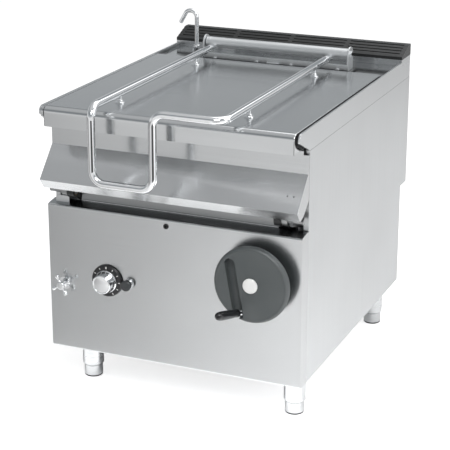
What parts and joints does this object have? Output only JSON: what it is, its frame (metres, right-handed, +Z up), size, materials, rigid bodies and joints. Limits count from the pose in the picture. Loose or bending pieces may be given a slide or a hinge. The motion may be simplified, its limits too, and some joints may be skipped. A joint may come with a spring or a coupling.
{
  "type": "tilting bratt pan",
  "caption": "Free-standing stainless tilting bratt pan: hinged lid with chrome tube handle, crank-geared tilt, control panel, swan-neck filler, rear flue and adjustable legs.",
  "frame": {"origin": "on the floor, under the middle of the whole machine's width and depth, at rest", "axes": "+X to the right seen from the front, +Y from the control panel to the flue, +Z up"},
  "size_m": [0.8, 1.1823, 1.04],
  "materials": {
    "stainless": "brushed stainless sheet",
    "galvanised": "plain folded sheet, dull",
    "chrome": "polished chrome tube and fittings",
    "black_enamel": "satin black heat-proof enamel",
    "grey_enamel": "dull grey paint",
    "cast_steel": "machined steel, dull",
    "burner_iron": "heat-darkened steel",
    "bronze": "plain bronze",
    "brass": "machined brass",
    "wheel_plastic": "moulded dark grey, satin",
    "black_plastic": "moulded black, semi-gloss",
    "white_plastic": "moulded white, gloss",
    "foot_steel": "turned steel foot, satin, on a threaded stem",
    "wool": "mineral wool slab"
  },
  "bodies": {
    "cabinet": {"base_frame": "galvanised", "leg_sleeves": "stainless", "floor_sheet": "galvanised", "left_side_panel": "stainless", "right_side_panel": "stainless", "rear_panel": "galvanised", "control_panel": "stainless", "left_cheek": "stainless", "right_cheek": "stainless", "rear_deck": "stainless", "flue_base": "stainless", "flue_cover": "black_enamel", "flue_duct": "galvanised", "pivot_frame": "grey_enamel", "pivot_brackets": "black_enamel", "bearing_bushes": "bronze", "gear_case": "grey_enamel", "gear_plate": "grey_enamel", "burner_box": "galvanised", "burners": "burner_iron", "gas_pipes": "brass", "gas_valve": "brass", "igniter_body": "chrome", "water_valve": "chrome", "water_pipes": "chrome", "sight_bush": "grey_enamel"},
    "front_left_foot": {"foot_front_left": "foot_steel"},
    "front_right_foot": {"foot_front_right": "foot_steel"},
    "rear_left_foot": {"foot_rear_left": "foot_steel"},
    "rear_right_foot": {"foot_rear_right": "foot_steel"},
    "pan": {"pan_walls": "stainless", "cooking_plate": "cast_steel", "pan_casing": "stainless", "insulation": "wool", "pan_apron": "stainless", "pan_ears": "cast_steel", "tilt_sector": "cast_steel", "pan_tongue": "stainless", "hinge_brackets": "stainless", "hinge_pins": "chrome"},
    "lid": {"lid_shell": "stainless", "lid_handle": "chrome", "handle_posts": "chrome", "hinge_tube": "chrome"},
    "idler": {"idler_gear": "cast_steel", "idler_bush": "bronze"},
    "cross_axle": {"cross_shaft": "cast_steel", "worm_wheel": "bronze", "pinion": "cast_steel"},
    "crank": {"handwheel": "wheel_plastic", "hub_cap": "white_plastic", "worm_shaft": "cast_steel", "worm": "cast_steel"},
    "folding_grip": {"grip_spindle": "chrome"},
    "grip_tube": {"grip_sleeve": "black_plastic"},
    "thermostat": {"thermostat_knob": "chrome", "dial_skirt": "black_plastic"},
    "water_tap": {"tap_handle": "chrome"},
    "igniter": {"igniter_button": "black_plastic"},
    "filler_spout": {"swan_neck": "chrome"}
  },
  "joints": [
    {"name": "pan_tilt", "type": "hinge", "parent": "cabinet", "child": "pan", "pos_m": [0, -0.38882, 0.636], "axis": [1, 0, 0], "range_deg": [0, 80]},
    {"name": "idler_spin", "type": "hinge", "parent": "cabinet", "child": "idler", "pos_m": [0.365, -0.23122, 0.5985], "axis": [1, 0, 0], "range_deg": [-160, 0]},
    {"name": "cross_spin", "type": "hinge", "parent": "cabinet", "child": "cross_axle", "pos_m": [0.3, -0.23122, 0.5205], "axis": [1, 0, 0], "range_deg": [0, 360]},
    {"name": "crank_turn", "type": "hinge", "parent": "cabinet", "child": "crank", "pos_m": [0.267, -0.40882, 0.453], "axis": [0, 1, 0], "range_deg": [0, 8640]},
    {"name": "grip_fold", "type": "hinge", "parent": "crank", "child": "folding_grip", "pos_m": [0.231, -0.44682, 0.362], "axis": [0.9838, 0, 0.1795], "range_deg": [-73, 15]},
    {"name": "grip_spin", "type": "hinge", "parent": "folding_grip", "child": "grip_tube", "pos_m": [0.231, -0.44682, 0.362], "axis": [-0.051, -0.9588, 0.2794], "continuous": true},
    {"name": "lid_hinge", "type": "hinge", "parent": "pan", "child": "lid", "pos_m": [0.02, 0.36118, 0.942], "axis": [-1, 0, 0], "range_deg": [0, 85]},
    {"name": "thermostat_turn", "type": "hinge", "parent": "cabinet", "child": "thermostat", "pos_m": [-0.207, -0.42882, 0.379], "axis": [0, 1, 0], "range_deg": [0, 270]},
    {"name": "tap_turn", "type": "hinge", "parent": "cabinet", "child": "water_tap", "pos_m": [-0.35, -0.43882, 0.35], "axis": [0, -1, 0], "range_deg": [0, 720]},
    {"name": "igniter_press", "type": "slide", "parent": "cabinet", "child": "igniter", "axis": [0, 1, 0], "range_m": [0, 0.004], "stiffness_N_per_m": 800, "springref_m": -0.003},
    {"name": "spout_swivel", "type": "hinge", "parent": "cabinet", "child": "filler_spout", "pos_m": [-0.278, 0.39518, 0.9], "axis": [0, 0, 1], "range_deg": [-60, 90]},
    {"name": "front_left_level", "type": "slide", "parent": "cabinet", "child": "front_left_foot", "axis": [0, 0, -1], "range_m": [0, 0.03]},
    {"name": "front_right_level", "type": "slide", "parent": "cabinet", "child": "front_right_foot", "axis": [0, 0, -1], "range_m": [0, 0.03]},
    {"name": "rear_left_level", "type": "slide", "parent": "cabinet", "child": "rear_left_foot", "axis": [0, 0, -1], "range_m": [0, 0.03]},
    {"name": "rear_right_level", "type": "slide", "parent": "cabinet", "child": "rear_right_foot", "axis": [0, 0, -1], "range_m": [0, 0.03]}
  ],
  "couplings": [
    {"joint": "idler_spin", "follows": "pan_tilt", "ratio": -2},
    {"joint": "cross_spin", "follows": "pan_tilt", "ratio": 4.5},
    {"joint": "crank_turn", "follows": "pan_tilt", "ratio": 108}
  ]
}
